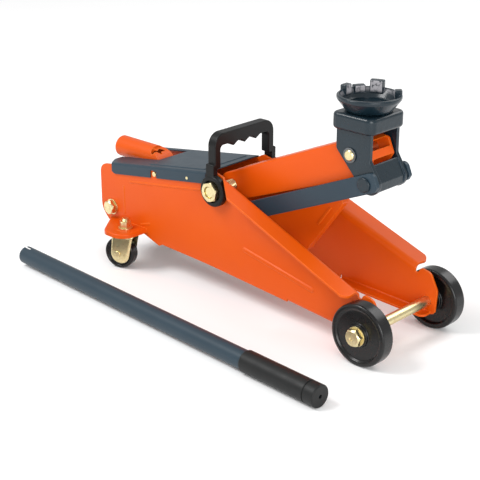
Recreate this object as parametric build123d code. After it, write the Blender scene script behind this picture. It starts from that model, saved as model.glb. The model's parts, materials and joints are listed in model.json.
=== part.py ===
from build123d import *

import os
from math import atan2, cos, degrees, radians, sin, sqrt, tan

# Trolley jack with its pump bar lying beside it, in millimetres. +X points to the front wheels,
# +Y to the jack's left and +Z up. The origin is on the floor, midway between the front wheels.

# Clearances
running = 0.05  # radial gap of a shaft that turns or slides in a hole
easy = 0.3  # gap between pieces that pass or lie beside each other

# Frame
sheet = 2.5  # thickness of the pressed side plates
frame_half = 41.5  # half the gap between the side plates
splay_start = -240.0  # behind this the plates are parallel
splay_angle = 1.9  # the plates spread toward the front wheels
rear_x = -439.5
flange_width = 27.0  # top flange, measured outward from the plate's inner face
flange_bend = 5.0  # inside radius of the top flange's bend
foot_flange_width = 17.0
foot_flange_bend = 2.0
rib_height = 1.2
rib_width = 6.0

# Front wheels and axle
wheel_radius = 35.0
wheel_width = 17.5
wheel_gap = 4.0  # plate to wheel
wheel_edge = 2.5
axle_radius = 6.0
axle_nut_across = 18.0
axle_nut_height = 7.0
washer_thickness = 1.5

# Main pivot and lift arm
pivot_x = -233.0
pivot_z = 133.0
pivot_radius = 7.0
pivot_nut_across = 21.5
pivot_nut_height = 8.0
arm_length = 193.8  # main pivot to head pin
arm_angle = 23.3  # as the jack is shown, above level
arm_half = 18.5
arm_sheet = 3.0
arm_top = 16.0  # top skin above the pivot line
arm_depth = 26.0  # webs below the pivot line
arm_nose = 22.0  # webs past the head pin
lever_half = 5.0
bush_wall = 5.0

# Head, head pin and link bars
ear_inner = 20.5
ear_sheet = 5.0
head_pin_radius = 6.0
link_offset_x = 24.0  # link pins from the pivot and the head pin
link_offset_z = -26.0
link_half_width = 10.5
link_sheet = 5.0
link_pin_radius = 5.0
head_rise = 25.7  # head pin to the underside of the head's top block
head_block_height = 18.5

# Saddle
saddle_x_shift = 2.8  # saddle's axis ahead of the head pin
saddle_foot_radius = 24.5
saddle_rim_radius = 34.5
saddle_rim_height = 17.0
saddle_lugs = {40.0: (5.0, 5.5), 112.0: (8.5, 8.5), 150.0: (3.0, 7.5), 184.0: (6.0, 6.5)}  # angle: rise, half width
saddle_stem_radius = 9.0

# Hydraulic unit
ram_z = 83.0
ram_pin_x = -219.5
ram_pin_radius = 5.0
ram_rod_radius = 9.0
cylinder_bore = 14.0
cylinder_wall = 3.0
reservoir_radius = 26.0
reservoir_wall = 2.0
reservoir_front = -304.0
block_front = -358.0
block_rear = -432.0
block_half = 34.0
block_bottom = 52.0
block_top = 100.0
rear_bolt_x = -419.0
rear_bolt_z = 66.0
rear_bolt_radius = 5.0

# Handle socket and pump
socket_z = 131.0
socket_mouth = -446.0
socket_radius = 13.3
bar_radius = 11.0
socket_pin_x = -385.0
socket_pin_z = 118.5
socket_pin_radius = 4.5
socket_nose_radius = 23.2  # front end, round about the socket pin
pump_x = -407.0
plunger_radius = 7.0

# Cover
cover_front = -250.0
cover_rear = -430.0
cover_sheet = 1.5
cover_skirt = 14.0
cover_slope = 0.155
cover_front_z = 150.7

# Casters
caster_x = -377.0
caster_reach = 18.5  # stud centre outboard of the plate's inner face
caster_radius = 20.0
caster_width = 14.0
caster_trail = 7.0
caster_turn = 18.6  # how far the casters have swung, about +Z
caster_pin_radius = 4.0
stud_radius = 4.0
caster_nut_height = 8.0
ear_top = 52.5
tongue_end = 84.0

# Carry handle
carry_x = -236.0
carry_thickness = 12.0
carry_top = 200.0
carry_boss_radius = 18.5
carry_boss_thickness = 7.5

# Pump bar on the floor
bar_tail = (-475.8, -140.5)
bar_head = (30.7, -167.6)
grip_radius = 12.5
grip_length = 106.0
bar_wall = 1.5

plate_outer = frame_half + sheet
skirt_inner = plate_outer + easy
skirt_outer = skirt_inner + cover_sheet
carry_inner = skirt_outer + easy
carry_outer = carry_inner + carry_boss_thickness
axle_z = wheel_radius
arm_direction = (cos(radians(arm_angle)), sin(radians(arm_angle)))
head_x = pivot_x + arm_length * arm_direction[0]
head_z = pivot_z + arm_length * arm_direction[1]
link_rear = (pivot_x + link_offset_x, pivot_z + link_offset_z)
link_front = (head_x + link_offset_x, head_z + link_offset_z)
link_inner = ear_inner + ear_sheet + easy
link_outer = link_inner + link_sheet
nose_inner = frame_half + (0 - splay_start) * tan(radians(splay_angle))
wheel_inner = nose_inner + sheet + wheel_gap
wheel_outer = wheel_inner + wheel_width
saddle_x = head_x + saddle_x_shift
head_block_bottom = head_z + head_rise
head_block_top = head_block_bottom + head_block_height
caster_y = frame_half + caster_reach


# Drawing helpers


def outline(*corners):
    """Face of straight edges whose corners (x, y, radius) are rounded."""
    points = [(x, y) for x, y, _ in corners]
    radii = [radius for _, _, radius in corners]
    return make_face(FilletPolyline(*points, radius=radii, close=True))


def across(shape, low, high):
    """Extrude a face drawn in X and Z across the jack, between two Y values."""
    plane = Plane(origin=(0, high, 0), x_dir=(1, 0, 0), z_dir=(0, -1, 0))
    return extrude(plane * shape, amount=high - low)


def along(shape, low, high):
    """Extrude a face drawn in Y and Z along the jack, between two X values."""
    plane = Plane(origin=(low, 0, 0), x_dir=(0, 1, 0), z_dir=(1, 0, 0))
    return extrude(plane * shape, amount=high - low)


def upward(shape, low, high):
    """Extrude a face drawn in X and Y between two heights."""
    return extrude(Pos(0, 0, low) * shape, amount=high - low)


def cross_rod(x, z, radius, low, high):
    return across(Pos(x, z) * Circle(radius), low, high)


def long_rod(y, z, radius, low, high):
    return along(Pos(y, z) * Circle(radius), low, high)


def post(x, y, radius, low, high):
    return upward(Pos(x, y) * Circle(radius), low, high)


def hexagon(across_flats, turn=0.0):
    return Rot(0, 0, turn) * RegularPolygon(across_flats / sqrt(3), 6)


def box_between(low, high):
    size = [b - a for a, b in zip(low, high)]
    middle = [(a + b) / 2 for a, b in zip(low, high)]
    return Pos(*middle) * Box(*size)


def both_sides(shape):
    return shape + mirror(shape, about=Plane.XZ)


def near_side(shape):
    return mirror(shape, about=Plane.XZ)


def in_arm(s, n):
    """Place in X and Z of a point s along the arm from the main pivot and n above its line."""
    x = pivot_x + s * arm_direction[0] - n * arm_direction[1]
    z = pivot_z + s * arm_direction[1] + n * arm_direction[0]
    return x, z


def arm_corners(*corners):
    return [(*in_arm(s, n), radius) for s, n, radius in corners]


# Side plates

bend_front = (-10.9, axle_z + 37.1)  # on the top flange's upper face
bend_rear = (-223.8, pivot_z + 19.3)
flange_slope = (bend_rear[1] - bend_front[1]) / (bend_front[0] - bend_rear[0])
foot_rear = (-120.0, axle_z - 6.4)
foot_front = (6.0, axle_z - 14.2)
flange_rear = -221.0
tongue_front = -356.0
tongue_rear = -424.5
tongue_rim = 5.5


def bend_height(x):
    return bend_front[1] + flange_slope * (bend_front[0] - x)


def splayed(shape):
    """Turn the front of a left plate outward about the line where the splay starts."""
    hinge = Axis((splay_start, frame_half, 0), (0, 0, 1))
    return shape.rotate(hinge, splay_angle)


def folded_strip(start, end, start_y, side, width, bend):
    """L-shaped strip along a line in X and Z: a bend from the plate and the flange beyond it."""
    run = Vector(end[0] - start[0], 0, end[1] - start[1])
    plane = Plane(origin=(start[0], start_y, start[1]), x_dir=(0, side, 0), z_dir=run)
    outer = bend + sheet
    quarter = 1 / sqrt(2)
    edges = [
        ThreePointArc((0, -outer), (outer - outer * quarter, outer * quarter - outer), (outer, 0)),
        Line((outer, 0), (width, 0)),
        Line((width, 0), (width, -sheet)),
        Line((width, -sheet), (outer, -sheet)),
        ThreePointArc((outer, -sheet), (outer - bend * quarter, bend * quarter - outer), (sheet, -outer)),
        Line((sheet, -outer), (0, -outer)),
    ]
    return extrude(plane * make_face(edges), amount=run.length)


def rib(start, end, width, height):
    """Round-ended pressed rib on the plate's outer face, with sloping sides."""
    run = (end[0] - start[0], end[1] - start[1])
    middle = Pos((start[0] + end[0]) / 2, (start[1] + end[1]) / 2)
    turn = Rot(0, 0, degrees(atan2(run[1], run[0])))
    length = sqrt(run[0] ** 2 + run[1] ** 2)
    slot = middle * turn * SlotCenterToCenter(length, width)
    plane = Plane(origin=(0, plate_outer, 0), x_dir=(-1, 0, 0), z_dir=(0, 1, 0))
    return extrude(plane * mirror(slot, about=Plane.YZ), amount=height, taper=40)


def plate_blank():
    """Flat shape of a side plate, without its flanges."""
    edge = flange_bend + sheet
    foot_edge = foot_flange_bend + sheet
    cover_gap = cover_sheet + 1.0
    rear_top = cover_front_z - cover_slope * (cover_front - rear_x) - cover_gap
    front_top = cover_front_z - cover_gap
    return outline(
        (rear_x, 60.0, 22.0),
        (-427.0, ear_top - tongue_rim, 3.0),
        (-369.0, ear_top - tongue_rim, 8.0),
        (-334.0, 35.5, 2.0),
        (-328.0, 38.6, 2.0),
        (-262.0, 36.0, 30.0),
        (foot_rear[0], foot_rear[1], 0.0),
        (foot_rear[0], foot_rear[1] + foot_edge, 0.0),
        (foot_front[0] - 4.0, foot_front[1] + foot_edge + 0.3, 0.0),
        (foot_front[0] - 4.0, foot_front[1] + 0.4, 0.0),
        (11.5, axle_z - 14.0, 5.0),
        (13.5, axle_z + 15.0, 12.0),
        (3.5, axle_z + 34.5, 9.0),
        (bend_front[0] + 2.0, axle_z + 37.0, 3.0),
        (bend_front[0] - 3.0, bend_height(bend_front[0] - 3.0) - edge - 1.0, 2.0),
        (bend_front[0] - 5.5, bend_height(bend_front[0] - 5.5) - edge / cos(atan2(flange_slope, 1)), 0.0),
        (flange_rear, bend_height(flange_rear) - edge / cos(atan2(flange_slope, 1)), 0.0),
        (flange_rear, bend_height(flange_rear) - 1.5, 3.0),
        (-240.0, pivot_z + 21.5, 8.0),
        (cover_front, front_top, 6.0),
        (rear_x, rear_top, 12.0),
    )


def tongue_plan(inset):
    """Plan of the caster tongue, shrunk by an inset on its three free sides."""
    return outline(
        (tongue_rear + 1.3 * inset, frame_half - inset / 2, 0.0),
        (tongue_rear + 33.0 + inset / 2, tongue_end - inset, 16.0 - inset),
        (tongue_front - inset, tongue_end - inset, 18.0 - inset),
        (tongue_front - inset, frame_half - inset / 2, 0.0),
    )


def caster_tongue():
    """Level tongue that the caster hangs from, with a rolled rim."""
    low = ear_top - tongue_rim
    tongue = upward(tongue_plan(0), low, ear_top)
    rim = tongue.edges().group_by(Axis.Z)[-1].filter_by(lambda e: e.center().Y > frame_half + 1)
    tongue = fillet(rim, 2.0)
    return tongue - upward(tongue_plan(sheet), low - 1.0, ear_top - sheet)


def side_plate():
    """Left side plate with its flanges, caster tongue, ribs and holes."""
    blank = across(plate_blank(), frame_half, plate_outer)
    rear = blank & box_between((-600, 0, -100), (splay_start, 200, 400))
    front = blank & box_between((splay_start, 0, -100), (200, 200, 400))
    flange = folded_strip(
        (flange_rear, bend_height(flange_rear)), bend_front, frame_half, 1, flange_width, flange_bend
    )
    flange_plan = outline(
        (flange_rear, frame_half - 1.0, 0.0),
        (flange_rear, frame_half + 4.0, 0.0),
        (-190.0, frame_half + flange_width + 1.0, 8.0),
        (bend_front[0] - 3.0, frame_half + flange_width + 1.0, 11.0),
        (bend_front[0] - 6.0, frame_half + 9.0, 5.0),
        (bend_front[0] - 6.0, frame_half - 1.0, 0.0),
    )
    flange &= upward(flange_plan, 0, 300)
    foot = folded_strip(foot_rear, foot_front, plate_outer, -1, foot_flange_width, foot_flange_bend)
    foot_plan = outline(
        (foot_rear[0], plate_outer + 1.0, 0.0),
        (foot_rear[0] + 14.0, frame_half - foot_flange_width, 4.0),
        (foot_front[0], plate_outer - foot_flange_width - 0.1, 8.0),
        (foot_front[0], plate_outer + 1.0, 0.0),
    )
    foot &= upward(foot_plan, -50, 100)
    front_ribs = rib((-187.0, 71.7), (-83.0, 54.6), rib_width, rib_height)
    plate = rear + splayed(front + flange + foot + front_ribs)
    plate += rib((-384.0, 106.6), (-262.0, 125.9), rib_width / 2, rib_height / 2)
    plate += rib((-396.5, 98.0), (-396.5, 64.0), rib_width / 2, rib_height / 2)
    plate += rib((-351.0, 60.0), (-366.0, 55.0), rib_width / 2, rib_height / 2)
    plate += caster_tongue()
    plate -= cross_rod(0, axle_z, axle_radius + running, 0, 100)
    plate -= cross_rod(pivot_x, pivot_z, pivot_radius + running, 0, 100)
    plate -= cross_rod(rear_bolt_x, rear_bolt_z, rear_bolt_radius + running, 0, 100)
    return plate - post(caster_x, caster_y, stud_radius + running, 0, 100)


# Front axle and wheels

nut_start = wheel_outer + easy + washer_thickness
axle_end = nut_start + axle_nut_height - 2.5


def front_axle():
    rod = cross_rod(0, axle_z, axle_radius, -axle_end, axle_end)
    return chamfer(rod.edges().filter_by(GeomType.CIRCLE), 0.8)


def axle_nut():
    nut = across(Pos(0, axle_z) * hexagon(axle_nut_across, 12), nut_start, nut_start + axle_nut_height)
    crown = Pos(0, nut_start, axle_z) * Rot(-90, 0, 0) * Cone(
        axle_nut_across / 2 + 6.0, axle_nut_across / 2 - 1.0, axle_nut_height,
        align=(Align.CENTER, Align.CENTER, Align.MIN),
    )
    nut &= crown
    dimple = cross_rod(0, axle_z, 2.6, nut_start + axle_nut_height - 0.6, nut_start + axle_nut_height)
    return nut - dimple - cross_rod(0, axle_z, axle_radius + running, nut_start, axle_end + easy)


def axle_washer():
    washer = cross_rod(0, axle_z, 11.0, nut_start - washer_thickness, nut_start)
    return washer - cross_rod(0, axle_z, axle_radius + running, 0, nut_start)


def axle_spacer():
    low = nose_inner + sheet + 0.45
    spacer = cross_rod(0, axle_z, 9.0, low, wheel_inner - easy)
    return spacer - cross_rod(0, axle_z, axle_radius + running, low, wheel_inner)


def front_wheel():
    """Left wheel: a rounded rim, a sunk web on both faces and a hub."""
    low = wheel_inner
    high = wheel_outer
    rim = wheel_radius
    profile = outline(
        (axle_radius + running, low, 0.0),
        (13.5, low, 1.0),
        (13.5, low + 3.5, 1.0),
        (rim - 6.5, low + 3.5, 1.5),
        (rim - 6.5, low, 1.5),
        (rim, low, wheel_edge),
        (rim, high, wheel_edge),
        (rim - 5.0, high, 2.0),
        (rim - 7.0, high - 2.6, 2.0),
        (13.5, high - 2.6, 0.8),
        (12.5, high, 0.8),
        (axle_radius + running, high, 0.0),
    )
    wheel = revolve(Plane.XY * profile, axis=Axis.Y)
    return Pos(0, 0, axle_z) * wheel


# Main pivot, carry handle and cover

nut_low = carry_outer - 3.5
pivot_end = nut_low + pivot_nut_height - 1.5


def main_pivot_shaft():
    rod = cross_rod(pivot_x, pivot_z, pivot_radius, -pivot_end, pivot_end)
    return chamfer(rod.edges().filter_by(GeomType.CIRCLE), 1.0)


def pivot_nut():
    high = nut_low + pivot_nut_height
    nut = across(Pos(pivot_x, pivot_z) * hexagon(pivot_nut_across, 18), nut_low, high)
    nut &= Pos(pivot_x, nut_low, pivot_z) * Rot(-90, 0, 0) * Cone(
        pivot_nut_across / 2 + 1.7 * pivot_nut_height, pivot_nut_across / 2, pivot_nut_height,
        align=(Align.CENTER, Align.CENTER, Align.MIN),
    )
    return nut - cross_rod(pivot_x, pivot_z, pivot_radius + running, nut_low, high)


def carry_handle():
    """Loop handle: scalloped grip, two legs that step outward, and a round boss on the pivot."""
    half = carry_outer - 4.3
    leg = 9.0
    grip_depth = 14.5
    grip_low = carry_top - grip_depth
    step = pivot_z + 26.0
    loop = outline(
        (-half, step, 2.0), (-half, carry_top, 15.0), (half, carry_top, 15.0), (half, step, 2.0),
        (half - leg, step, 2.0), (half - leg, grip_low, 5.0),
        (-half + leg, grip_low, 5.0), (-half + leg, step, 2.0),
    )
    window_half = half - leg
    scallops = 4
    pitch = 2 * (window_half - 3.0) / scallops
    for k in range(scallops - 1):
        middle = -window_half + 3.0 + (k + 1) * pitch
        loop += outline(
            (middle - pitch / 2, grip_low + 1.0, 0.0), (middle - pitch / 4, grip_low - 1.5, 6.0),
            (middle, grip_low - 4.4, 1.2), (middle + pitch / 4, grip_low - 1.5, 6.0),
            (middle + pitch / 2, grip_low + 1.0, 0.0),
        )
    low = carry_x - carry_thickness / 2
    high = carry_x + carry_thickness / 2
    handle = along(loop, low, high)
    handle = fillet(handle.edges().group_by(Axis.X)[0] + handle.edges().group_by(Axis.X)[-1], 1.2)
    leg_low = box_between((low, carry_inner, pivot_z), (high, carry_outer - 1.0, step + 6.0))
    leg_low = fillet(leg_low.edges().group_by(Axis.Z)[-1], 2.0)
    boss = cross_rod(pivot_x, pivot_z, carry_boss_radius, carry_inner, carry_outer)
    boss = fillet(boss.edges().group_by(Axis.Y)[-1], 2.5)
    hub = cross_rod(pivot_x, pivot_z, pivot_nut_across / 2 + 1.5, plate_outer + 0.8, carry_inner)
    side = leg_low + boss + hub
    side -= cross_rod(pivot_x, pivot_z, pivot_radius + running, 0, carry_outer)
    side -= cross_rod(pivot_x, pivot_z, pivot_nut_across / sqrt(3) + 0.8, nut_low - 0.1, carry_outer + 1)
    return handle + both_sides(side)


def cover_height(x):
    return cover_front_z + cover_slope * (x - cover_front)


def top_cover():
    """Sheet lid over the hydraulic unit, with side skirts and a notch for the handle socket."""
    rise = degrees(atan2(cover_slope, 1))
    drop = cover_skirt / cos(radians(rise))
    skin = cover_sheet / cos(radians(rise))
    outer_side = outline(
        (cover_front, cover_height(cover_front), 0.0),
        (cover_rear, cover_height(cover_rear), 0.0),
        (cover_rear, cover_height(cover_rear) - 2.0, 0.0),
        (cover_rear + 19.0, cover_height(cover_rear + 19.0) - drop, 8.0),
        (cover_front, cover_height(cover_front) - drop, 3.0),
    )
    inner_side = outline(
        (cover_front + 20, cover_height(cover_front + 20) - skin, 0.0),
        (cover_rear - 20, cover_height(cover_rear - 20) - skin, 0.0),
        (cover_rear - 20, cover_height(cover_rear - 20) - 60, 0.0),
        (cover_front + 20, cover_height(cover_front + 20) - 60, 0.0),
    )
    outer = across(outer_side, -skirt_outer, skirt_outer)
    top_edges = outer.edges().filter_by(lambda e: abs(e.center().Y) > skirt_outer - 0.1)
    outer = fillet(top_edges.filter_by(lambda e: e.length > 100).group_by(Axis.Z)[-1], 3.0)
    inner = across(inner_side, -skirt_inner, skirt_inner)
    inner = fillet(
        inner.edges().filter_by(lambda e: e.length > 100 and abs(e.center().Y) > skirt_inner - 0.1)
        .group_by(Axis.Z)[-1], 1.5,
    )
    plan = outline(
        (cover_front, -skirt_outer, 0.0), (cover_front, skirt_outer, 0.0),
        (cover_rear + 14.0, skirt_outer, 0.0), (cover_rear, 28.0, 5.0),
        (cover_rear, -28.0, 5.0), (cover_rear + 14.0, -skirt_outer, 0.0),
    )
    cover = (outer - inner) & upward(plan, 50, 250)
    notch_front = socket_pin_x + socket_nose_radius - 0.7
    cover -= box_between((cover_rear - 9, -socket_radius - 1.7, 90), (notch_front, 36.0, 200))
    for side in (-1, 1):
        middle = side * (skirt_inner + skirt_outer) / 2
        cover -= box_between((-345.0, middle - 3, 100), (-334.0, middle + 3, 131.5))
    panel = across(
        outline(
            (-262.0, cover_height(-262.0) + 0.7, 0.0), (-356.0, cover_height(-356.0) + 0.7, 0.0),
            (-356.0, cover_height(-356.0) - 0.5, 0.0), (-262.0, cover_height(-262.0) - 0.5, 0.0),
        ), -36.0, 36.0,
    )
    return cover + panel


def cover_screw():
    """Cover pins: one in the skirt's notch and one near the front, on the left side."""
    pin = cross_rod(-337.5, 128.0, 3.0, plate_outer, skirt_outer + 0.6)
    button = cross_rod(-281.0, 136.5, 1.8, skirt_outer, skirt_outer + 0.5)
    return pin + button


# Hydraulic unit


def pump_block():
    """Casting that holds the ram bore, the pump bore and the rear bolts."""
    block = box_between((block_rear, -block_half, block_bottom), (block_front, block_half, block_top))
    block = fillet(block.edges().filter_by(Axis.Z), 8.0)
    block = chamfer(block.faces().sort_by(Axis.Z)[-1].edges(), 1.5)
    boss = cross_rod(rear_bolt_x, rear_bolt_z, 11.0, block_half - 10, frame_half - 0.05)
    ear = across(
        outline(
            (socket_pin_x - 8.0, block_top - 10, 0.0), (socket_pin_x + 8.0, block_top - 10, 0.0),
            (socket_pin_x + 8.0, socket_pin_z + 8.0, 7.9), (socket_pin_x - 8.0, socket_pin_z + 8.0, 7.9),
        ), socket_radius + 0.7, socket_radius + 6.7,
    )
    block += both_sides(boss) + both_sides(ear)
    block -= long_rod(0, ram_z, cylinder_bore, block_front - 26.0, block_front)
    block -= post(pump_x, 0, plunger_radius + running, 62.0, block_top)
    block -= post(pump_x, 0, plunger_radius + 3.0 + running, 92.0, block_top)
    block -= cross_rod(socket_pin_x, socket_pin_z, socket_pin_radius + running, -50, 50)
    block -= both_sides(
        cross_rod(rear_bolt_x, rear_bolt_z, rear_bolt_radius + running, frame_half - 20, frame_half)
    )
    block -= long_rod(24.0, 76.0, 5.0 + running, block_rear, block_rear + 18.0)
    return block - long_rod(-24.0, 76.0, 4.0 + running, block_rear, block_rear + 12.0)


def ram_cylinder():
    tube = long_rod(0, ram_z, cylinder_bore + cylinder_wall, block_front, reservoir_front)
    return tube - long_rod(0, ram_z, cylinder_bore, block_front, reservoir_front)


def reservoir_tube():
    tube = long_rod(0, ram_z, reservoir_radius, block_front, reservoir_front)
    tube -= long_rod(0, ram_z, reservoir_radius - reservoir_wall, block_front, reservoir_front)
    return tube - post(-330.0, 0, 4.0 + running, ram_z, ram_z + 40)


def reservoir_cap():
    """Front cap of the reservoir, which also closes the cylinder around its gland."""
    cap = long_rod(0, ram_z, reservoir_radius, reservoir_front, reservoir_front + 6.0)
    cap = fillet(cap.edges().group_by(Axis.X)[-1], 2.5)
    return cap - long_rod(0, ram_z, cylinder_bore - 2.0 + running, reservoir_front, reservoir_front + 6)


def gland_nut():
    low = reservoir_front
    nut = long_rod(0, ram_z, cylinder_bore - 2.0, low, low + 6.0)
    nut += along(Pos(0, ram_z) * hexagon(30.0), low + 6.0, low + 11.0)
    nut -= long_rod(0, ram_z, ram_rod_radius + 1.5, low, low + 3.0)
    return nut - long_rod(0, ram_z, ram_rod_radius + running, low, low + 11.0)


def rod_seal():
    seal = long_rod(0, ram_z, ram_rod_radius + 1.45, reservoir_front + 0.1, reservoir_front + 2.9)
    return seal - long_rod(0, ram_z, ram_rod_radius + 0.02, reservoir_front, reservoir_front + 3.0)


def filler_plug():
    top = ram_z + reservoir_radius
    plug = post(-330.0, 0, 4.0, top - reservoir_wall - 2.0, top + 0.4)
    return plug + post(-330.0, 0, 7.0, top + 0.4, top + 3.0)


def release_valve():
    """Release screw with a cross hole in its knuckle, beside the socket's line."""
    valve = long_rod(24.0, 76.0, 5.0, block_rear - 0.3, block_rear + 12.0)
    valve += long_rod(24.0, 76.0, 7.5, block_rear - 8.0, block_rear - 0.3)
    return valve - along(Pos(24.0, 76.0) * Rectangle(2.0, 20.0), block_rear - 8.0, block_rear - 4.0)


def relief_plug():
    plug = long_rod(-24.0, 76.0, 4.0, block_rear, block_rear + 11.0)
    return plug + along(Pos(-24.0, 76.0) * hexagon(12.0), block_rear - 5.0, block_rear)


def rear_bolt():
    start = plate_outer + washer_thickness
    bolt = cross_rod(rear_bolt_x, rear_bolt_z, rear_bolt_radius, frame_half - 18.0, start)
    head = across(Pos(rear_bolt_x, rear_bolt_z) * hexagon(16.5, 20), start, start + 6.5)
    head &= Pos(rear_bolt_x, start, rear_bolt_z) * Rot(-90, 0, 0) * Cone(
        14.5, 7.4, 6.5, align=(Align.CENTER, Align.CENTER, Align.MIN)
    )
    return bolt + head


def rear_washer():
    washer = cross_rod(rear_bolt_x, rear_bolt_z, 10.0, plate_outer, plate_outer + washer_thickness)
    return washer - cross_rod(rear_bolt_x, rear_bolt_z, rear_bolt_radius + running, 0, 100)


# Ram

clevis_inner = lever_half + 0.6
clevis_outer = clevis_inner + 6.0
piston_front = -330.0


def ram_clevis():
    """Forked rod end that straddles the lever plate."""
    cheeks = across(
        outline(
            (ram_pin_x - 30.0, ram_z - 9.0, 1.0), (ram_pin_x + 10.0, ram_z - 9.0, 8.9),
            (ram_pin_x + 10.0, ram_z + 9.0, 8.9), (ram_pin_x - 30.0, ram_z + 9.0, 1.0),
        ), -clevis_outer, clevis_outer,
    )
    cheeks -= box_between(
        (ram_pin_x - 22.0, -clevis_inner, ram_z - 20), (ram_pin_x + 20, clevis_inner, ram_z + 20)
    )
    return cheeks - cross_rod(ram_pin_x, ram_z, ram_pin_radius + running, -50, 50)


def ram_pin():
    pin = cross_rod(ram_pin_x, ram_z, ram_pin_radius, -clevis_outer - 1.5, clevis_outer + 1.5)
    return pin


def piston_rod():
    rod = long_rod(0, ram_z, ram_rod_radius, piston_front, ram_pin_x - 30.0)
    return rod + long_rod(0, ram_z, ram_rod_radius - 3.0, piston_front - 12.0, piston_front)


def piston():
    body = long_rod(0, ram_z, cylinder_bore - running, piston_front - 12.0, piston_front)
    body -= long_rod(0, ram_z, ram_rod_radius - 3.0 + running, piston_front - 12.0, piston_front)
    groove = long_rod(0, ram_z, cylinder_bore + 1, piston_front - 8.0, piston_front - 4.0)
    return body - (groove - long_rod(0, ram_z, cylinder_bore - 3.0, piston_front - 8, piston_front - 4))


def piston_seal():
    seal = long_rod(0, ram_z, cylinder_bore - 0.03, piston_front - 7.9, piston_front - 4.1)
    return seal - long_rod(0, ram_z, cylinder_bore - 2.95, piston_front - 8, piston_front - 4)


# Lift arm

lever_slot_half = ram_pin_radius + 2.0
slot_angle = degrees(atan2(ram_pin_x - pivot_x, pivot_z - ram_z))
slot_near = 49.0
slot_far = 59.5
arm_fore = arm_length + arm_nose


def lift_arm():
    """Channel arm: two webs, a top skin, and a cross tab under its open front end."""
    web = outline(*arm_corners(
        (-18.0, 15.9, 15.0), (arm_fore - 14.0, arm_top, 8.0), (arm_fore, 7.5, 4.0),
        (arm_fore, -11.3, 3.0), (arm_fore - 18.0, -arm_depth, 3.0), (-18.0, -18.1, 15.0),
    ))
    web -= Pos(pivot_x, pivot_z) * Circle(pivot_radius + running)
    web -= Pos(head_x, head_z) * Circle(head_pin_radius + running)
    arm = across(web, arm_half - arm_sheet, arm_half)
    arm = both_sides(arm)
    skin = outline(*arm_corners(
        (12.0, arm_top, 0.0), (arm_fore - 14.0, arm_top, 8.0), (arm_fore - 1.0, 8.2, 0.0),
        (arm_fore - 4.5, 7.0, 0.0), (arm_fore - 15.0, arm_top - arm_sheet, 5.0),
        (12.0, arm_top - arm_sheet, 0.0),
    ))
    arm += across(skin, -arm_half, arm_half)
    long_edges = arm.edges().filter_by(lambda e: e.length > arm_length * 0.8 and abs(e.center().Y) > arm_half - 0.1)
    arm = fillet(long_edges.group_by(Axis.Z)[-1], 2.5)
    tab = outline(*arm_corners(
        (arm_fore - 3.0, -11.3, 0.0), (arm_fore - 0.2, -11.3, 0.0),
        (arm_fore - 0.2, -2.5, 0.0), (arm_fore - 3.0, -2.5, 0.0),
    ))
    arm += across(tab, -arm_half + arm_sheet, arm_half - arm_sheet)
    return arm


def lever_plate():
    """Deep plate under the arm: it rides on the bush and its slot takes the ram's pin."""
    d = (sin(radians(slot_angle)), -cos(radians(slot_angle)))

    def from_pivot(down, behind, radius):
        return (
            pivot_x + down * d[0] - behind * cos(radians(slot_angle)),
            pivot_z + down * d[1] - behind * sin(radians(slot_angle)),
            radius,
        )

    top = arm_top - arm_sheet
    plate = outline(
        from_pivot(10.0, 14.0, 6.0),
        from_pivot(slot_far + 12.5, 14.0, 10.0),
        (*in_arm(74.0, -93.5), 3.0),
        (*in_arm(79.5, -89.3), 3.0),
        (*in_arm(146.0, -51.0), 3.0),
        (*in_arm(150.0, top), 0.0),
        (*in_arm(4.0, top), 4.0),
    )
    plate -= Pos(pivot_x, pivot_z) * Circle(pivot_radius + bush_wall + 0.02)
    middle = (slot_near + slot_far) / 2
    slot = Pos(pivot_x + middle * d[0], pivot_z + middle * d[1]) * Rot(0, 0, slot_angle - 90)
    plate -= slot * SlotCenterToCenter(slot_far - slot_near, 2 * lever_slot_half)
    lever = across(plate, -lever_half, lever_half)
    lip = outline(*arm_corners(
        (103.0, -67.5, 0.0), (128.0, -53.0, 0.0), (127.0, -51.3, 0.0), (102.0, -65.8, 0.0),
    ))
    return lever + across(lip, -lever_half - 1.5, lever_half + 1.5)


def arm_bush():
    width = arm_half - arm_sheet
    bush = cross_rod(pivot_x, pivot_z, pivot_radius + bush_wall, -width, width)
    return bush - cross_rod(pivot_x, pivot_z, pivot_radius + running, -width, width)


# Head, head pin and links

ear_outer = ear_inner + ear_sheet


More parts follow.
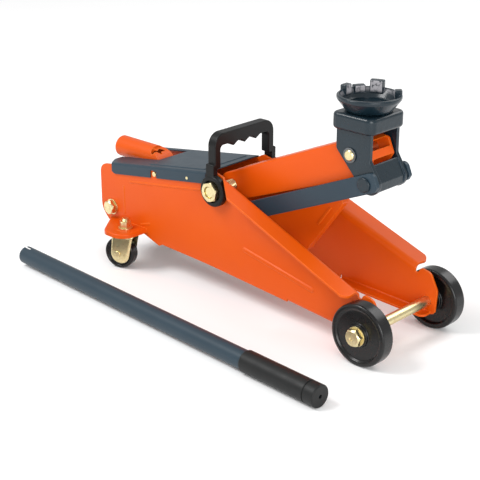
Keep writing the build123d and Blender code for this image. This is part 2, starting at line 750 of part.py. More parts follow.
def saddle_head():
    """Cast head: two ears, a thick top block and a wall across the lower front."""
    low_x, low_z = link_front
    bottom = head_block_bottom
    ear = across(
        outline(
            (head_x - 19.5, bottom + 2.0, 0.0), (head_x - 19.5, head_z + 4.0, 6.0),
            (low_x - 14.5, low_z - 1.0, 3.0), (low_x - 11.0, low_z - 12.5, 9.0),
            (low_x + 13.5, low_z - 12.5, 12.0), (low_x + 15.0, low_z + 3.0, 6.0),
            (low_x + 1.5, head_z - 2.0, 6.0), (low_x + 1.5, bottom + 2.0, 0.0),
        ), ear_inner, ear_outer,
    )
    ear = fillet(ear.edges().group_by(Axis.Y)[-1], 1.2)
    block = upward(
        Pos(head_x + 2.5, 0) * RectangleRounded(55.0, 60.0, 9.0), bottom, head_block_top
    )
    block = fillet(block.edges().group_by(Axis.Z)[0] + block.edges().group_by(Axis.Z)[-1], 4.0)
    wall = across(
        outline(
            (low_x + 6.0, low_z - 10.0, 2.0), (low_x + 12.5, low_z - 8.0, 2.0),
            (low_x + 13.5, low_z + 2.0, 2.0), (low_x + 3.0, low_z + 20.0, 1.5),
            (low_x - 0.5, low_z + 18.0, 1.5), (low_x + 6.5, low_z + 2.0, 3.0),
        ), -ear_inner, ear_inner,
    )
    head = block + both_sides(ear) + wall
    head -= box_between((head_x - 30, -ear_inner, bottom - 1), (head_x + 24, ear_inner, bottom + 4.5))
    head -= cross_rod(head_x, head_z, head_pin_radius + 0.02, -50, 50)
    head -= cross_rod(low_x, low_z, link_pin_radius + 0.02, -50, -ear_inner)
    head -= cross_rod(low_x, low_z, link_pin_radius + 0.02, ear_inner, 50)
    return head - post(saddle_x, 0, saddle_stem_radius + running, bottom - 5, head_block_top + 5)


def head_pin():
    pin = cross_rod(head_x, head_z, head_pin_radius, -ear_outer - 3.2, ear_outer + 3.2)
    return chamfer(pin.edges().filter_by(GeomType.CIRCLE), 1.2)


def head_pin_clip():
    clip = cross_rod(head_x, head_z, head_pin_radius + 2.2, ear_outer + 0.3, ear_outer + 1.4)
    return clip - cross_rod(head_x, head_z, head_pin_radius + 0.02, ear_outer, ear_outer + 2)


def link_bar():
    """Left link bar, parallel to the arm line."""
    ux, uz = arm_direction
    corners = []
    for s, n, radius in (
        (-link_half_width, link_half_width, link_half_width - 0.1),
        (arm_length + 15.5, link_half_width, 7.0),
        (arm_length + 15.5, -link_half_width + 4.0, 3.0),
        (arm_length + 10.0, -link_half_width, 3.0),
        (-link_half_width, -link_half_width, link_half_width - 0.1),
    ):
        corners.append((link_rear[0] + s * ux - n * uz, link_rear[1] + s * uz + n * ux, radius))
    bar = across(outline(*corners), link_inner, link_outer)
    bar = fillet(bar.edges().group_by(Axis.Y)[-1], 0.8)
    bar -= cross_rod(*link_rear, link_pin_radius + running, 0, 100)
    return bar - cross_rod(*link_front, link_pin_radius + running, 0, 100)


def link_rivet():
    rivet = cross_rod(*link_front, link_pin_radius, ear_inner, link_outer + 0.4)
    head = cross_rod(*link_front, 8.0, link_outer + 0.4, link_outer + 2.4)
    return rivet + fillet(head.edges().group_by(Axis.Y)[-1], 1.5)


def link_stud():
    """Shouldered stud welded to the inside of the left plate."""
    seat = frame_half + (link_rear[0] - splay_start - 9.0) * tan(radians(splay_angle))
    stud = cross_rod(*link_rear, link_pin_radius, link_inner - 0.4, seat)
    stud += cross_rod(*link_rear, 9.0, link_outer + easy, seat)
    return stud + cross_rod(*link_rear, 8.0, link_inner - 2.6, link_inner - 0.4)


# Saddle

saddle_bottom = head_block_top + 0.3


def saddle():
    """Cup with a flared wall and upstanding lugs around the back of its rim."""
    rim = saddle_rim_radius
    foot = saddle_foot_radius
    top = saddle_bottom + saddle_rim_height
    profile = outline(
        (0, saddle_bottom, 0.0), (foot, saddle_bottom, 3.0), (rim, top - 4.0, 4.0), (rim, top, 1.5),
        (rim - 3.5, top, 1.2), (foot - 0.5, saddle_bottom + 6.5, 4.0), (0, saddle_bottom + 6.5, 0.0),
    )
    cup = revolve(Plane.XZ * profile, axis=Axis.Z)
    skin = post(0, 0, rim - 0.5, top - 5.0, top + 40) - post(0, 0, rim - 8.5, top - 6.0, top + 41)
    for angle, (rise, half) in saddle_lugs.items():
        sector = outline(
            (rim - 12.0, 1.5 - half, 0.0), (rim + 3.0, -half, 0.0),
            (rim + 3.0, half, 0.0), (rim - 12.0, half - 1.5, 0.0),
        )
        lug = upward(sector, top - 5.0, top + rise) & skin
        lug = fillet(lug.edges().filter_by(Axis.Z), 1.6)
        lug = fillet(lug.edges().group_by(Axis.Z)[-1], 1.4)
        cup += Rot(0, 0, angle) * lug
    stem = post(0, 0, saddle_stem_radius, head_block_bottom + 2.0, saddle_bottom)
    return Pos(saddle_x, 0, 0) * (cup + stem)


def saddle_clip():
    low = head_block_bottom + 2.2
    clip = post(saddle_x, 0, saddle_stem_radius + 3.0, low, low + 1.6)
    return clip - post(saddle_x, 0, saddle_stem_radius + 0.02, low, low + 2)


# Casters, on the left side

caster_side = (cos(radians(caster_turn)), sin(radians(caster_turn)))
fork_leg = 2.0
fork_half = caster_width / 2 + 1.5
fork_top = ear_top - tongue_rim - 0.6


def caster_place(shape, side):
    """Set a caster piece, modelled with its stud on the Z axis and its wheel behind, on a side."""
    return Pos(caster_x, side * caster_y, 0) * Rot(0, 0, caster_turn) * shape


def caster_fork():
    """Bent strap: a round-cornered bridge and two legs with rounded ends."""
    leg = outline(
        (-15.5, fork_top, 2.0), (15.5, fork_top, 2.0), (14.0 - caster_trail, 6.5, 13.4),
        (-13.0 - caster_trail, 6.5, 13.4),
    )
    outer = across(leg, -fork_half - fork_leg, fork_half + fork_leg)
    crown = outer.edges().group_by(Axis.Z)[-1].filter_by(Axis.X)
    outer = fillet(crown, 5.0)
    inner = box_between((-60, -fork_half, -10), (60, fork_half, fork_top - fork_leg))
    inner = fillet(inner.edges().group_by(Axis.Z)[-1].filter_by(Axis.X), 3.0)
    fork = outer - inner
    fork -= cross_rod(-caster_trail, caster_radius, caster_pin_radius + running, -50, 50)
    return fork - post(0, 0, stud_radius + running, 0, 100)


def caster_wheel():
    half = caster_width / 2
    profile = outline(
        (caster_pin_radius + running, -half, 0.0), (7.0, -half, 0.8), (8.0, -half + 1.5, 0.8),
        (caster_radius - 4.5, -half + 1.5, 0.8), (caster_radius - 3.5, -half, 0.8),
        (caster_radius, -half, 2.5), (caster_radius, half, 2.5), (caster_radius - 3.5, half, 0.8),
        (caster_radius - 4.5, half - 1.5, 0.8), (8.0, half - 1.5, 0.8), (7.0, half, 0.8),
        (caster_pin_radius + running, half, 0.0),
    )
    wheel = revolve(Plane.XY * profile, axis=Axis.Y)
    return Pos(-caster_trail, 0, caster_radius) * wheel


def caster_axle():
    end = fork_half + fork_leg
    axle = cross_rod(-caster_trail, caster_radius, caster_pin_radius, -end - 1.6, end + 1.6)
    return fillet(axle.edges().filter_by(GeomType.CIRCLE), 1.0)


def caster_stud():
    """Stud whose flat head hangs the fork below the tongue, with its bearing race."""
    head = post(0, 0, 6.0, fork_top - fork_leg - 3.0, fork_top - fork_leg - 0.2)
    shank = post(0, 0, stud_radius, fork_top - fork_leg - 0.2, ear_top + washer_thickness + caster_nut_height + 3.5)
    race = post(0, 0, 9.5, fork_top + 0.3, ear_top - sheet)
    return chamfer(head.edges().group_by(Axis.Z)[0], 0.8) + shank + race


def caster_nut():
    low = ear_top + washer_thickness
    nut = upward(hexagon(13.0, 10), low, low + caster_nut_height)
    nut &= Pos(0, 0, low) * Cone(
        6.5 + 1.7 * caster_nut_height, 6.5, caster_nut_height,
        align=(Align.CENTER, Align.CENTER, Align.MIN),
    )
    return nut - post(0, 0, stud_radius + running, low, low + caster_nut_height)


def caster_washer():
    washer = post(0, 0, 9.0, ear_top, ear_top + washer_thickness)
    return washer - post(0, 0, stud_radius + running, ear_top, ear_top + 5)


# Handle socket and pump


def handle_socket():
    """Tube for the pump bar, round-nosed at its pivot, with a lug below and a keyhole on top."""
    tube = long_rod(0, socket_z, socket_radius, socket_mouth, socket_pin_x + socket_nose_radius)
    tube = fillet(tube.edges().group_by(Axis.X)[0], 0.8)
    lug = across(
        outline(
            (socket_pin_x - 9.0, socket_pin_z - 9.0, 8.9), (socket_pin_x + 9.0, socket_pin_z - 9.0, 8.9),
            (socket_pin_x + 9.0, socket_z, 0.0), (socket_pin_x - 9.0, socket_z, 0.0),
        ), -socket_radius, socket_radius,
    )
    nose = cross_rod(socket_pin_x, socket_pin_z, socket_nose_radius, -20, 20)
    nose += box_between((socket_mouth, -20, 100), (socket_pin_x + 3.4, 20, 160))
    socket = (tube + lug) & nose
    socket -= long_rod(0, socket_z, bar_radius + easy, socket_mouth, socket_pin_x - 5.0)
    socket -= long_rod(0, socket_z + 1.0, 8.5, socket_pin_x - 6.0, socket_pin_x + 12.0)
    socket -= cross_rod(socket_pin_x, socket_pin_z, socket_pin_radius + running, -50, 50)
    keyhole = Pos(socket_pin_x + 7.0, -8.5) * Circle(3.6)
    keyhole += Pos(socket_pin_x + 10.0, -5.5) * Rot(0, 0, 42) * SlotCenterToCenter(9.0, 3.2)
    return socket - upward(keyhole, socket_z + 2, socket_z + 20)


def socket_pin():
    end = socket_radius + 6.7 + 1.2
    return cross_rod(socket_pin_x, socket_pin_z, socket_pin_radius, -end, end)


plunger_cap = block_top + 13.2


def pump_gland():
    gland = post(pump_x, 0, plunger_radius + 3.0, 92.0, block_top)
    gland += upward(Pos(pump_x, 0) * hexagon(24.0), block_top, block_top + 6.0)
    return gland - post(pump_x, 0, plunger_radius + running, 92.0, block_top + 6.0)


def pump_plunger():
    """Plunger with a cap and a domed end that the socket presses."""
    top = socket_z - socket_radius - easy
    dome = Pos(pump_x, 0, top - 8.0) * Sphere(8.0)
    dome &= post(pump_x, 0, 8.0, plunger_cap, top + 1)
    rod = post(pump_x, 0, plunger_radius, 70.0, plunger_cap)
    return rod + post(pump_x, 0, 8.0 + running, plunger_cap - 0.8, plunger_cap + 0.6) + dome


def pump_spring():
    low = block_top + 6.1
    high = plunger_cap - 0.9
    wire = 0.7
    coil_radius = plunger_radius + 1.0
    path = Helix(pitch=(high - low - 2 * wire) / 3, height=high - low - 2 * wire, radius=coil_radius)
    section = Plane(origin=path @ 0, z_dir=path % 0) * Circle(wire)
    return Pos(pump_x, 0, low + wire) * sweep(section, path)


# Pump bar

bar_run = Vector(bar_head[0] - bar_tail[0], bar_head[1] - bar_tail[1], 0)
bar_plane = Plane(origin=(bar_tail[0], bar_tail[1], grip_radius), x_dir=(0, 0, 1), z_dir=bar_run)


def bar_rod(radius, low, high):
    return extrude(bar_plane.offset(low) * Circle(radius), amount=high - low)


def pump_bar():
    """Two-hand pump bar: a tube with a cross slot in the end that fits the socket."""
    bar = bar_rod(bar_radius, 0, bar_run.length - 3.0)
    bar = fillet(bar.edges().group_by(Axis.X)[0], 0.6)
    bar -= bar_rod(bar_radius - bar_wall, 0, bar_run.length - 8.0)
    return bar - extrude(bar_plane * Rectangle(40.0, 4.0), amount=12.0)


def bar_grip():
    start = bar_run.length - grip_length
    grip = bar_rod(grip_radius, start, bar_run.length)
    grip = fillet(grip.edges().filter_by(GeomType.CIRCLE), 1.5)
    ring = bar_rod(grip_radius + 1, bar_run.length - 15.0, bar_run.length - 13.0)
    grip -= ring - bar_rod(grip_radius - 0.9, bar_run.length - 15.0, bar_run.length - 13.0)
    grip -= bar_rod(bar_radius, start, bar_run.length - 3.0)
    return grip - bar_rod(2.2, bar_run.length - 5.0, bar_run.length)


def make_nodes():
    nodes = {
        "side_plate_left": side_plate(),
        "side_plate_right": near_side(side_plate()),
        "front_axle": front_axle(),
        "axle_nuts": both_sides(axle_nut()),
        "axle_washers": both_sides(axle_washer()),
        "axle_spacers": both_sides(axle_spacer()),
        "front_wheel_left": front_wheel(),
        "front_wheel_right": near_side(front_wheel()),
        "main_pivot_shaft": main_pivot_shaft(),
        "pivot_nuts": both_sides(pivot_nut()),
        "carry_handle": carry_handle(),
        "top_cover": top_cover(),
        "cover_screws": both_sides(cover_screw()),
        "pump_block": pump_block(),
        "ram_cylinder": ram_cylinder(),
        "reservoir_tube": reservoir_tube(),
        "reservoir_cap": reservoir_cap(),
        "gland_nut": gland_nut(),
        "rod_seal": rod_seal(),
        "filler_plug": filler_plug(),
        "release_valve": release_valve(),
        "relief_plug": relief_plug(),
        "rear_bolts": both_sides(rear_bolt()),
        "rear_washers": both_sides(rear_washer()),
        "ram_clevis": ram_clevis(),
        "ram_pin": ram_pin(),
        "piston_rod": piston_rod(),
        "piston": piston(),
        "piston_seal": piston_seal(),
        "lift_arm": lift_arm(),
        "lever_plate": lever_plate(),
        "arm_bush": arm_bush(),
        "saddle_head": saddle_head(),
        "head_pin": head_pin(),
        "head_pin_clips": both_sides(head_pin_clip()),
        "link_bar_left": link_bar(),
        "link_bar_right": near_side(link_bar()),
        "link_rivets": both_sides(link_rivet()),
        "link_studs": both_sides(link_stud()),
        "saddle": saddle(),
        "saddle_clip": saddle_clip(),
        "handle_socket": handle_socket(),
        "socket_pin": socket_pin(),
        "pump_gland": pump_gland(),
        "pump_plunger": pump_plunger(),
        "pump_spring": pump_spring(),
        "pump_bar": pump_bar(),
        "bar_grip": bar_grip(),
    }
    caster_pieces = {
        "caster_fork": caster_fork(),
        "caster_wheel": caster_wheel(),
        "caster_axle": caster_axle(),
        "caster_stud": caster_stud(),
        "caster_nut": caster_nut(),
        "caster_washer": caster_washer(),
    }
    for name, shape in caster_pieces.items():
        nodes[name + "_left"] = caster_place(shape, 1)
        nodes[name + "_right"] = caster_place(shape, -1)
    return nodes


os.makedirs("parts", exist_ok=True)
for node, shape in make_nodes().items():
    export_step(shape, f"parts/{node}.step")
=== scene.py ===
import json
import bpy
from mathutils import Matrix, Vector


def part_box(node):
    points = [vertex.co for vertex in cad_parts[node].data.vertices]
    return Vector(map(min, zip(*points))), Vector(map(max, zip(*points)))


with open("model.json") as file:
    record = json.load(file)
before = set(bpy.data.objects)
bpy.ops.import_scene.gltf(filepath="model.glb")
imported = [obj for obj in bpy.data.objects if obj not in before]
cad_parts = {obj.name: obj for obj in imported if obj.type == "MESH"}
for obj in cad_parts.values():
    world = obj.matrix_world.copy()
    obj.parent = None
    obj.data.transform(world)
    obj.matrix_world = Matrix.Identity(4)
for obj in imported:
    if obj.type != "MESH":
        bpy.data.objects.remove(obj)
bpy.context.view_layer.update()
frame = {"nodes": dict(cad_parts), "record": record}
record = frame["record"]
mm = 0.001
lightSocket, deepSocket, mixedSocket = 6, 7, 2  # a colour Mix node's two colours and its result
waveAtOne = 0.314  # metres from crest to crest of a wave pattern at scale 1
bevelRays = 6
print("frame loaded:", len(frame["nodes"]), "nodes")


def linear(hexColour):
    channels = [int(hexColour[i:i + 2], 16) / 255 for i in (1, 3, 5)]
    return [c / 12.92 if c <= 0.04045 else ((c + 0.055) / 1.055) ** 2.4 for c in channels] + [1.0]


def addNode(tree, kind, settings=None, links=None):
    node = tree.nodes.new(kind)
    for name, value in (settings or {}).items():
        if isinstance(name, int) or name in node.inputs:
            node.inputs[name].default_value = value
        else:
            setattr(node, name, value)
    for name, socket in (links or {}).items():
        tree.links.new(socket, node.inputs[name])
    return node


def startMaterial(name, fixed):
    # fixed holds the values that are the same all over, set on the shader itself
    material = bpy.data.materials.new(name)
    material.use_nodes = True
    tree = material.node_tree
    shader = tree.nodes["Principled BSDF"]
    for socket, value in fixed.items():
        shader.inputs[socket].default_value = value
    place = addNode(tree, "ShaderNodeTexCoord").outputs["Object"]
    return material, tree, shader, place


def paintCoat(name, look):
    # colour drifts slowly over a panel, takes a painted highlight in a lighter tone on the bends and
    # edges, and the surface carries the soft ripple of a sprayed coat
    material, tree, shader, place = startMaterial(name, look["fixed"])
    cloud = addNode(tree, "ShaderNodeTexNoise", {"Scale": 1 / (look["cloud"] * mm), "Detail": 3.0},
                    {"Vector": place})
    body = addNode(tree, "ShaderNodeMix",
                   {"data_type": "RGBA", lightSocket: linear(look["light"]),
                    deepSocket: linear(look["deep"])},
                   {0: cloud.outputs["Fac"]})
    rounded = addNode(tree, "ShaderNodeBevel", {"samples": bevelRays, "Radius": look["edge"] * mm})
    flat = addNode(tree, "ShaderNodeNewGeometry")
    turned = addNode(tree, "ShaderNodeVectorMath", {"operation": "DOT_PRODUCT"},
                     {0: rounded.outputs["Normal"], 1: flat.outputs["Normal"]})
    edge = addNode(tree, "ShaderNodeMapRange",
                   {"From Min": 0.992, "From Max": 0.86, "To Min": 0.0, "To Max": look["edgeHighlightShare"]},
                   {"Value": turned.outputs["Value"]})
    # painted highlight: bends and edges are mixed towards a lighter tone
    edgeHighlighted = addNode(tree, "ShaderNodeMix",
                       {"data_type": "RGBA", deepSocket: linear(look["edgeHighlightTone"])},
                       {0: edge.outputs["Result"], lightSocket: body.outputs[mixedSocket]})
    tree.links.new(edgeHighlighted.outputs[mixedSocket], shader.inputs["Base Color"])
    smear = addNode(tree, "ShaderNodeTexNoise", {"Scale": 3 / (look["cloud"] * mm), "Detail": 4.0},
                    {"Vector": place})
    gloss = addNode(tree, "ShaderNodeMapRange",
                    {"To Min": look["roughness"][0], "To Max": look["roughness"][1]},
                    {"Value": smear.outputs["Fac"]})
    tree.links.new(gloss.outputs["Result"], shader.inputs["Roughness"])
    peel = addNode(tree, "ShaderNodeTexNoise", {"Scale": 1 / (look["peel"] * mm), "Detail": 1.0},
                   {"Vector": place})
    ripple = addNode(tree, "ShaderNodeBump", {"Distance": look["peelDepth"] * mm, "Strength": 0.5},
                     {"Height": peel.outputs["Fac"], "Normal": rounded.outputs["Normal"]})
    lump = addNode(tree, "ShaderNodeTexNoise", {"Scale": 1 / (look["lump"] * mm), "Detail": 2.0},
                   {"Vector": place})
    uneven = addNode(tree, "ShaderNodeBump", {"Distance": look["lumpDepth"] * mm, "Strength": 0.6},
                     {"Height": lump.outputs["Fac"], "Normal": ripple.outputs["Normal"]})
    tree.links.new(uneven.outputs["Normal"], shader.inputs["Normal"])
    return material


def platedMetal(name, look):
    # the film's colour wanders between three tones, and fine grain breaks up the shine
    material, tree, shader, place = startMaterial(name, look["fixed"])
    film = addNode(tree, "ShaderNodeTexNoise", {"Scale": 1 / (look["film"] * mm), "Detail": 2.0},
                   {"Vector": place})
    drift = addNode(tree, "ShaderNodeTexNoise", {"Scale": 2.3 / (look["film"] * mm), "Detail": 3.0},
                    {"Vector": place})
    base = addNode(tree, "ShaderNodeMix",
                   {"data_type": "RGBA", lightSocket: linear(look["tones"][0]),
                    deepSocket: linear(look["tones"][1])},
                   {0: film.outputs["Fac"]})
    share = addNode(tree, "ShaderNodeMapRange",
                    {"From Min": 0.5, "From Max": 0.75, "To Min": 0.0, "To Max": look["driftShare"]},
                    {"Value": drift.outputs["Fac"]})
    tinted = addNode(tree, "ShaderNodeMix", {"data_type": "RGBA", deepSocket: linear(look["tones"][2])},
                     {0: share.outputs["Result"], lightSocket: base.outputs[mixedSocket]})
    tree.links.new(tinted.outputs[mixedSocket], shader.inputs["Base Color"])
    gloss = addNode(tree, "ShaderNodeMapRange",
                    {"To Min": look["roughness"][0], "To Max": look["roughness"][1]},
                    {"Value": drift.outputs["Fac"]})
    tree.links.new(gloss.outputs["Result"], shader.inputs["Roughness"])
    rounded = addNode(tree, "ShaderNodeBevel", {"samples": bevelRays, "Radius": look["edge"] * mm})
    grain = addNode(tree, "ShaderNodeTexNoise", {"Scale": 1 / (look["grain"] * mm), "Detail": 3.0},
                    {"Vector": place})
    bump = addNode(tree, "ShaderNodeBump", {"Distance": look["grainDepth"] * mm, "Strength": 0.5},
                   {"Height": grain.outputs["Fac"], "Normal": rounded.outputs["Normal"]})
    tree.links.new(bump.outputs["Normal"], shader.inputs["Normal"])
    if "thread" in look:
        turns = addNode(tree, "ShaderNodeTexWave",
                        {"bands_direction": look["threadAlong"],
                         "Scale": waveAtOne / (look["thread"] * mm)},
                        {"Vector": place})
        ridges = addNode(tree, "ShaderNodeBump",
                         {"Distance": look["threadDepth"] * mm, "Strength": 0.9},
                         {"Height": turns.outputs["Fac"], "Normal": bump.outputs["Normal"]})
        tree.links.new(ridges.outputs["Normal"], shader.inputs["Normal"])
    return material


def greyPatchSheenAndWear(material, greyPatchLook):
    # light grey patches on the faces that look in at the centre, above a height: a painted highlight
    # for their bright reflection, and paint rubbed through to grey iron
    tree = material.node_tree
    shader = tree.nodes["Principled BSDF"]
    under = shader.inputs["Base Color"].links[0].from_socket
    coordinates = addNode(tree, "ShaderNodeTexCoord")
    place = coordinates.outputs["Object"]
    centred = addNode(tree, "ShaderNodeMapping", {"Location": [-value for value in greyPatchLook["centre"]]},
                      {"Vector": place})
    level = addNode(tree, "ShaderNodeVectorMath", {"operation": "MULTIPLY", 1: (-1.0, -1.0, 0.0)},
                    {0: centred.outputs["Vector"]})
    inward = addNode(tree, "ShaderNodeVectorMath", {"operation": "NORMALIZE"},
                     {0: level.outputs["Vector"]})
    facing = addNode(tree, "ShaderNodeVectorMath", {"operation": "DOT_PRODUCT"},
                     {0: inward.outputs["Vector"], 1: coordinates.outputs["Normal"]})
    split = addNode(tree, "ShaderNodeSeparateXYZ", links={"Vector": place})
    height = addNode(tree, "ShaderNodeMapRange", {"From Min": greyPatchLook["low"], "From Max": greyPatchLook["high"]},
                     {"Value": split.outputs["Z"]})
    patch = addNode(tree, "ShaderNodeMapRange", {"From Min": 0.72, "From Max": 0.93},
                    {"Value": facing.outputs["Value"]})
    flakes = addNode(tree, "ShaderNodeTexNoise", {"Scale": 1 / (greyPatchLook["flake"] * mm), "Detail": 3.0},
                     {"Vector": place})
    broken = addNode(tree, "ShaderNodeMapRange", {"From Min": 0.3, "From Max": 0.48},
                     {"Value": flakes.outputs["Fac"]})
    share = addNode(tree, "ShaderNodeMath", {"operation": "MULTIPLY"},
                    {0: height.outputs["Result"], 1: patch.outputs["Result"]})
    amount = addNode(tree, "ShaderNodeMath", {"operation": "MULTIPLY"},
                     {0: share.outputs["Value"], 1: broken.outputs["Result"]})
    # painted highlight and bare iron: the patch mixes the coat towards light grey
    sheenAndWear = addNode(tree, "ShaderNodeMix", {"data_type": "RGBA", deepSocket: linear(greyPatchLook["tone"])},
                   {0: amount.outputs["Value"], lightSocket: under})
    tree.links.new(sheenAndWear.outputs[mixedSocket], shader.inputs["Base Color"])
    return material


def mouldedPolymer(name, look, centre=(0.0, 0.0, 0.0)):
    # even fine grain from the mould, gloss that varies a little with the colour cloud, and turned rings
    # about the centre where the mould was cut on a lathe
    material, tree, shader, place = startMaterial(name, look["fixed"])
    cloud = addNode(tree, "ShaderNodeTexNoise", {"Scale": 1 / (look["cloud"] * mm), "Detail": 3.0},
                    {"Vector": place})
    body = addNode(tree, "ShaderNodeMix",
                   {"data_type": "RGBA", lightSocket: linear(look["light"]),
                    deepSocket: linear(look["deep"])},
                   {0: cloud.outputs["Fac"]})
    tree.links.new(body.outputs[mixedSocket], shader.inputs["Base Color"])
    gloss = addNode(tree, "ShaderNodeMapRange",
                    {"To Min": look["roughness"][0], "To Max": look["roughness"][1]},
                    {"Value": cloud.outputs["Fac"]})
    tree.links.new(gloss.outputs["Result"], shader.inputs["Roughness"])
    rounded = addNode(tree, "ShaderNodeBevel", {"samples": bevelRays, "Radius": look["edge"] * mm})
    grain = addNode(tree, "ShaderNodeTexNoise", {"Scale": 1 / (look["grain"] * mm), "Detail": 2.0},
                    {"Vector": place})
    bump = addNode(tree, "ShaderNodeBump", {"Distance": look["grainDepth"] * mm, "Strength": 0.5},
                   {"Height": grain.outputs["Fac"], "Normal": rounded.outputs["Normal"]})
    tree.links.new(bump.outputs["Normal"], shader.inputs["Normal"])
    if "ring" in look:
        centred = addNode(tree, "ShaderNodeMapping", {"Location": [-value for value in centre]},
                          {"Vector": place})
        rings = addNode(tree, "ShaderNodeTexWave",
                        {"wave_type": "RINGS", "rings_direction": "Y",
                         "Scale": waveAtOne / (look["ring"] * mm)},
                        {"Vector": centred.outputs["Vector"]})
        turned = addNode(tree, "ShaderNodeBump",
                         {"Distance": look["ringDepth"] * mm, "Strength": 0.5},
                         {"Height": rings.outputs["Fac"], "Normal": bump.outputs["Normal"]})
        tree.links.new(turned.outputs["Normal"], shader.inputs["Normal"])
    return material


# polyester powder coat on pressed steel: saturated orange, half gloss, a faint orange-peel ripple, and
# a painted highlight in lighter orange on edges and bends
powderCoatOrange = paintCoat("powderCoatOrange", {
    "fixed": {"Specular IOR Level": 0.2, "Coat Weight": 0.06, "Coat Roughness": 0.2},
    "light": "#D95706", "deep": "#CF4B03", "edgeHighlightTone": "#F58A2A", "edgeHighlightShare": 0.55, "edge": 1.0,
    "cloud": 60, "roughness": (0.34, 0.46), "peel": 2.2, "peelDepth": 0.05,
    "lump": 40, "lumpDepth": 0.1})

# the same coat in slate blue on the lid, links and bar: a little duller, with a painted highlight in
# grey-blue on edges and bends
powderCoatSlate = paintCoat("powderCoatSlate", {
    "fixed": {"Specular IOR Level": 0.28, "Coat Weight": 0.08, "Coat Roughness": 0.25},
    "light": "#2C3D48", "deep": "#24343F", "edgeHighlightTone": "#5C6F7C", "edgeHighlightShare": 0.4, "edge": 0.9,
    "cloud": 45, "roughness": (0.38, 0.52), "peel": 2.0, "peelDepth": 0.05,
    "lump": 35, "lumpDepth": 0.08})

# thick gloss enamel over a rough iron casting: darker, lumpy, with sharp highlights and a painted
# highlight in grey-blue on its edges
enamelledCasting = paintCoat("enamelledCasting", {
    "fixed": {"Specular IOR Level": 0.3, "Coat Weight": 0.25, "Coat Roughness": 0.1},
    "light": "#14262F", "deep": "#0E1C24", "edgeHighlightTone": "#46596A", "edgeHighlightShare": 0.45, "edge": 1.6,
    "cloud": 20, "roughness": (0.22, 0.36), "peel": 1.6, "peelDepth": 0.08,
    "lump": 5, "lumpDepth": 0.45})

# the saddle's lugs get light grey patches on the inside: a painted highlight for their bright
# reflection, and paint lost where the vehicle rests
saddleLow, saddleHigh = (Vector(corner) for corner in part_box("saddle"))
saddleEnamelSheenAndWear = greyPatchSheenAndWear(enamelledCasting.copy(), {
    "centre": (saddleLow + saddleHigh) / 2,
    "low": saddleHigh.z - 13.5 * mm, "high": saddleHigh.z - 10.5 * mm,
    "flake": 3.5, "tone": "#A8A6AA"})
saddleEnamelSheenAndWear.name = "enamelSheenAndWear"

# zinc plate under a yellow chromate film: pale gold with faint rose and green drifts
zincLook = {
    "fixed": {"Metallic": 1.0}, "tones": ("#DCCB94", "#EBDFB4", "#C2A27C"), "driftShare": 0.5,
    "film": 9, "roughness": (0.2, 0.4), "edge": 0.5, "grain": 0.7, "grainDepth": 0.03}
yellowZinc = platedMetal("yellowZinc", zincLook)

# the same plate on rolled threads: M8 studs upright, the M14 pivot across the frame
threadedStud = platedMetal("threadedZincStud", {
    **zincLook, "thread": 1.25, "threadAlong": "Z", "threadDepth": 0.5})
threadedPivot = platedMetal("threadedZincPivot", {
    **zincLook, "thread": 2.0, "threadAlong": "Y", "threadDepth": 0.6})

# ground and hard-chromed rod: bright, nearly colourless
hardChrome = platedMetal("hardChrome", {
    "fixed": {"Metallic": 1.0}, "tones": ("#C9CBCC", "#B9BCBE", "#A7ABAE"), "driftShare": 0.3,
    "film": 12, "roughness": (0.1, 0.2), "edge": 0.4, "grain": 0.5, "grainDepth": 0.01})

# drawn and oiled spring wire: dark grey with a soft shine
oiledSpringWire = platedMetal("oiledSpringWire", {
    "fixed": {"Metallic": 1.0}, "tones": ("#77797B", "#5C5F62", "#4A4038"), "driftShare": 0.4,
    "film": 5, "roughness": (0.28, 0.45), "edge": 0.2, "grain": 0.4, "grainDepth": 0.02})

# machined sand-cast iron with a thin oil film: dull and grainy
sandCastIron = platedMetal("sandCastIron", {
    "fixed": {"Metallic": 0.85}, "tones": ("#5A5B5B", "#484A4B", "#3A3632"), "driftShare": 0.5,
    "film": 14, "roughness": (0.42, 0.62), "edge": 1.0, "grain": 1.1, "grainDepth": 0.14})

# glass-filled nylon from a spark-eroded mould: near black with a fine even grain
glassFilledNylon = mouldedPolymer("glassFilledNylon", {
    "fixed": {"Specular IOR Level": 0.25}, "light": "#101112", "deep": "#0B0C0C", "edge": 0.9,
    "cloud": 25, "roughness": (0.34, 0.46), "grain": 0.9, "grainDepth": 0.06})

# soft PVC sleeve dipped over the bar: black with a dull, slightly dusty skin
dippedPvc = mouldedPolymer("dippedPvc", {
    "fixed": {"Specular IOR Level": 0.3}, "light": "#191A1A", "deep": "#121313", "edge": 1.0,
    "cloud": 12, "roughness": (0.38, 0.56), "grain": 0.8, "grainDepth": 0.07})

# oil-proof nitrile rubber: matt black
nitrileRubber = mouldedPolymer("nitrileRubber", {
    "fixed": {"Specular IOR Level": 0.3}, "light": "#1B1B1B", "deep": "#141414", "edge": 0.2,
    "cloud": 8, "roughness": (0.55, 0.7), "grain": 0.5, "grainDepth": 0.04})

# hard nylon wheels from lathe-cut moulds: black, clear highlights on the rim, faint rings
wheelLook = {
    "fixed": {"Specular IOR Level": 0.42}, "light": "#0D0D0E", "deep": "#090909", "edge": 1.0,
    "cloud": 18, "roughness": (0.2, 0.34), "grain": 1.4, "grainDepth": 0.03,
    "ring": 1.6, "ringDepth": 0.04}

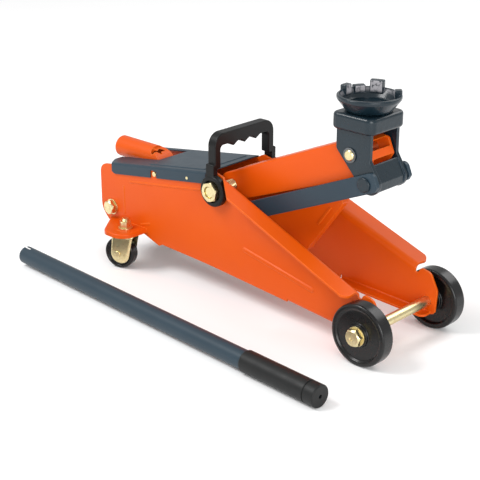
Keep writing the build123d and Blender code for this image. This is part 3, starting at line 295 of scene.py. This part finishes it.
finishes = {
    "orange_paint": powderCoatOrange, "slate_paint": powderCoatSlate, "cast_slate": enamelledCasting,
    "yellow_zinc": yellowZinc, "bright_steel": hardChrome, "spring_steel": oiledSpringWire,
    "cast_metal": sandCastIron, "black_plastic": glassFilledNylon, "grip_rubber": dippedPvc,
    "seal_rubber": nitrileRubber,
}
special = {
    "saddle": saddleEnamelSheenAndWear, "caster_stud_left": threadedStud, "caster_stud_right": threadedStud,
    "main_pivot_shaft": threadedPivot,
}
for part in record["subparts"]:
    node = frame["nodes"][part["node"]]
    node.data.materials.clear()
    if part["node"] in special:
        node.data.materials.append(special[part["node"]])
    elif part["material_slot"] == "wheel_plastic":
        low, high = (Vector(corner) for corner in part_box(part["node"]))
        turnedNylon = mouldedPolymer("turnedNylon_" + part["node"], wheelLook, (low + high) / 2)
        node.data.materials.append(turnedNylon)
    else:
        node.data.materials.append(finishes[part["material_slot"]])
print("nodes finished:", len(record["subparts"]))


studio = {
    "floorLight": "#F8F8F8", "floorDeep": "#FBFBFB", "floorSize": 12.0, "floorDrop": 0.0002,
    "floorCloud": 700,
    "keyPlace": (-1.3, -1.5, 2.2), "keySize": 1.3, "keyPower": 46,
    "fillPlace": (2.2, -1.4, 0.9), "fillSize": 1.8, "fillPower": 46,
    "backPlace": (0.3, 2.0, 1.9), "backSize": 1.6, "backPower": 18,
    "worldColour": "#FFFFFF", "worldStrength": 0.68,
    "aim": (-0.22, -0.02, 0.08),
    "cameraPlace": (0.72334, -1.00848, 0.60883),
    "cameraAim": (-0.27133, 0.03451, 0.03789),
    "focalLength": 93.75, "sensorWidth": 36, "clipStart": 0.05,
}


def aimAt(place, target):
    return (Vector(target) - Vector(place)).to_track_quat("-Z", "Y").to_euler()


def addFloor():
    bpy.ops.object.select_all(action="DESELECT")
    bpy.ops.mesh.primitive_plane_add(size=studio["floorSize"], location=(0, 0, -studio["floorDrop"]))
    floor = bpy.context.object
    floor.name = "studioFloor"
    # matt painted board: an even, faintly mottled white
    material, tree, shader, place = startMaterial(
        "paintedBoard", {"Roughness": 0.85, "Specular IOR Level": 0.1})
    cloud = addNode(tree, "ShaderNodeTexNoise",
                    {"Scale": 1 / (studio["floorCloud"] * mm), "Detail": 2.0}, {"Vector": place})
    tint = addNode(tree, "ShaderNodeMix",
                   {"data_type": "RGBA", lightSocket: linear(studio["floorLight"]),
                    deepSocket: linear(studio["floorDeep"])},
                   {0: cloud.outputs["Fac"]})
    tree.links.new(tint.outputs[mixedSocket], shader.inputs["Base Color"])
    floor.data.materials.append(material)


def addLight(name):
    data = bpy.data.lights.new(name + "Light", "AREA")
    data.shape = "DISK"
    data.size = studio[name + "Size"]
    data.energy = studio[name + "Power"]
    lamp = bpy.data.objects.new(name + "Light", data)
    bpy.context.collection.objects.link(lamp)
    lamp.location = studio[name + "Place"]
    lamp.rotation_euler = aimAt(studio[name + "Place"], studio["aim"])


def addCamera():
    data = bpy.data.cameras.new("camera")
    data.lens = studio["focalLength"]
    data.sensor_width = studio["sensorWidth"]
    data.clip_start = studio["clipStart"]
    camera = bpy.data.objects.new("camera", data)
    bpy.context.collection.objects.link(camera)
    camera.location = studio["cameraPlace"]
    camera.rotation_euler = aimAt(studio["cameraPlace"], studio["cameraAim"])
    bpy.context.scene.camera = camera


def addWorld():
    world = bpy.data.worlds.new("softBox")
    world.use_nodes = True
    background = world.node_tree.nodes["Background"]
    background.inputs["Color"].default_value = linear(studio["worldColour"])
    background.inputs["Strength"].default_value = studio["worldStrength"]
    bpy.context.scene.world = world


addFloor()
for lightName in ("key", "fill", "back"):
    addLight(lightName)
addWorld()
addCamera()
bpy.context.scene.view_settings.view_transform = "Standard"
print("studio ready")
